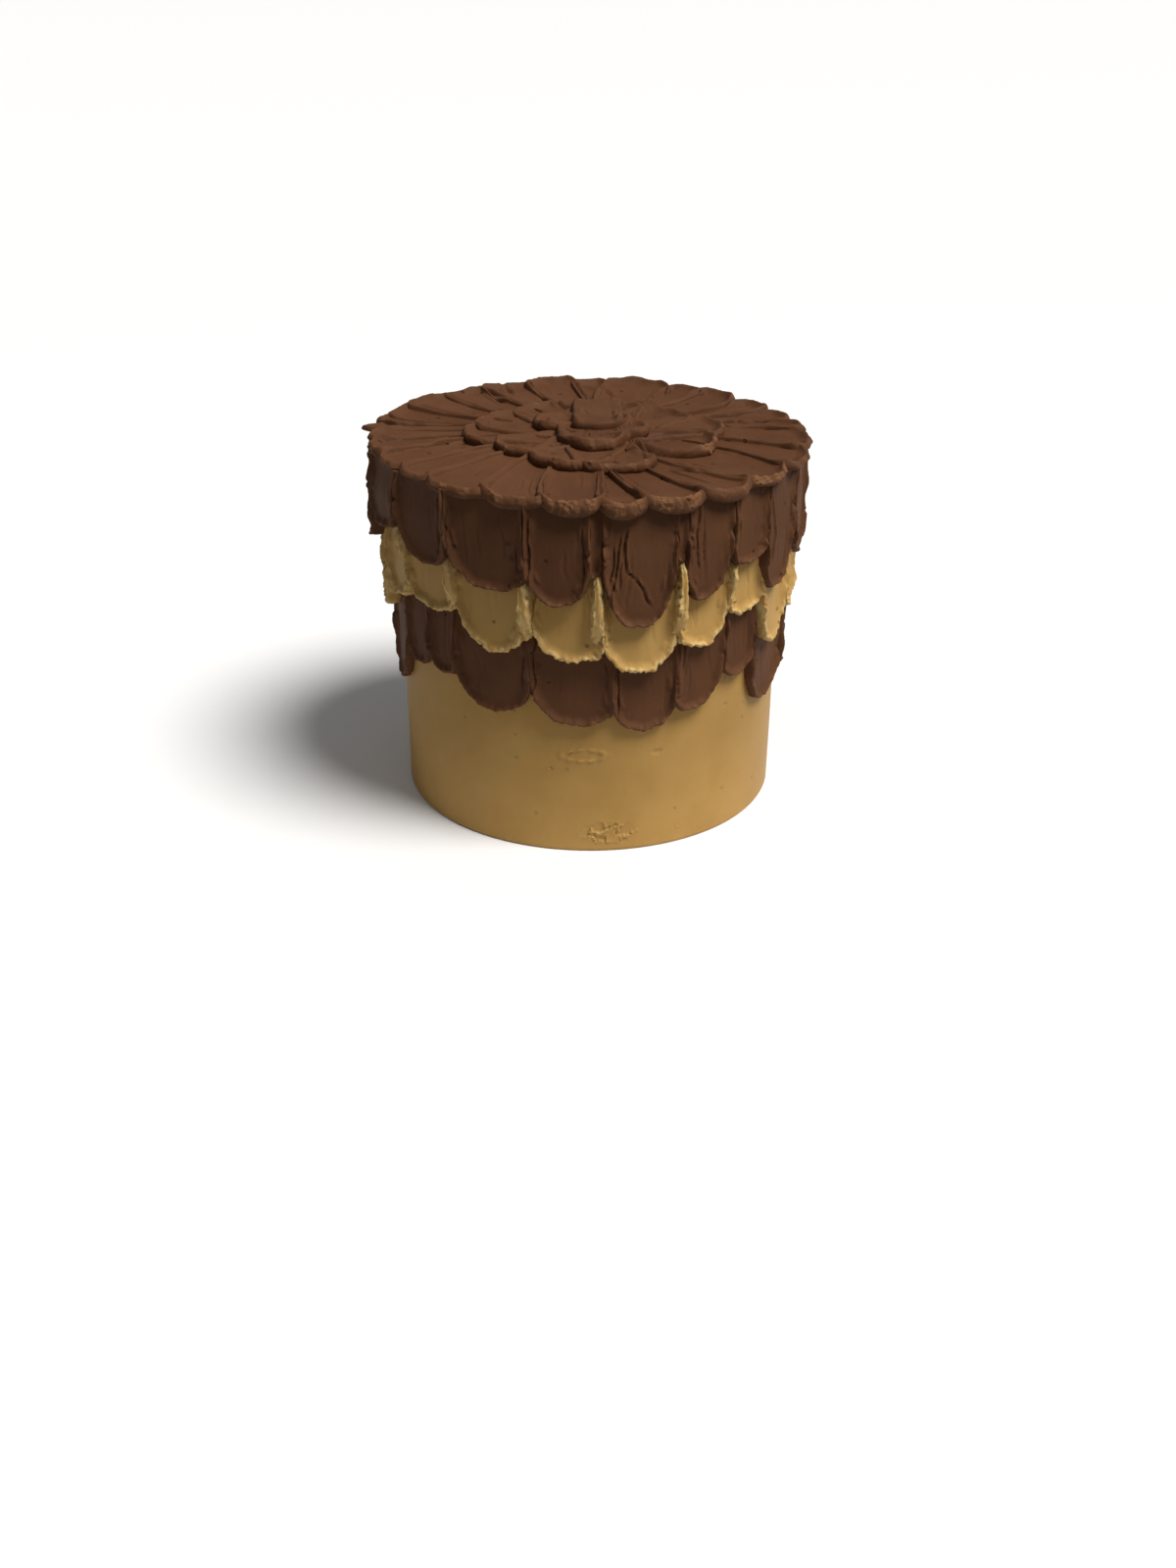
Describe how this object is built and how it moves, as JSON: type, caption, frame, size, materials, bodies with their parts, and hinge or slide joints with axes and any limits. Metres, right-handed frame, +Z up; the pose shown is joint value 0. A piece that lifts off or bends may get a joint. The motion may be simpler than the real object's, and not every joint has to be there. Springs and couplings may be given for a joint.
{
  "type": "layer cake",
  "caption": "Tall round iced layer cake with a smooth tan side, overlapping rows of swiped chocolate and tan icing petals, and chocolate petals spread over the top.",
  "frame": {"origin": "centre of the flat base that the cake rests on", "axes": "+Z up along the cake's axis, -Y towards the side seen in front, +X to the right seen from there"},
  "size_m": [0.1732, 0.1719, 0.1494],
  "materials": {
    "tan_icing": "satin, smooth buttercream",
    "chocolate_icing": "satin, swiped buttercream"
  },
  "bodies": {
    "root": {"cake_body": "tan_icing", "side_petals_lower": "chocolate_icing", "side_petals_middle": "tan_icing", "side_petals_upper": "chocolate_icing", "top_petals_outer": "chocolate_icing", "top_petals_inner": "chocolate_icing", "top_petals_centre": "chocolate_icing"}
  },
  "joints": []
}
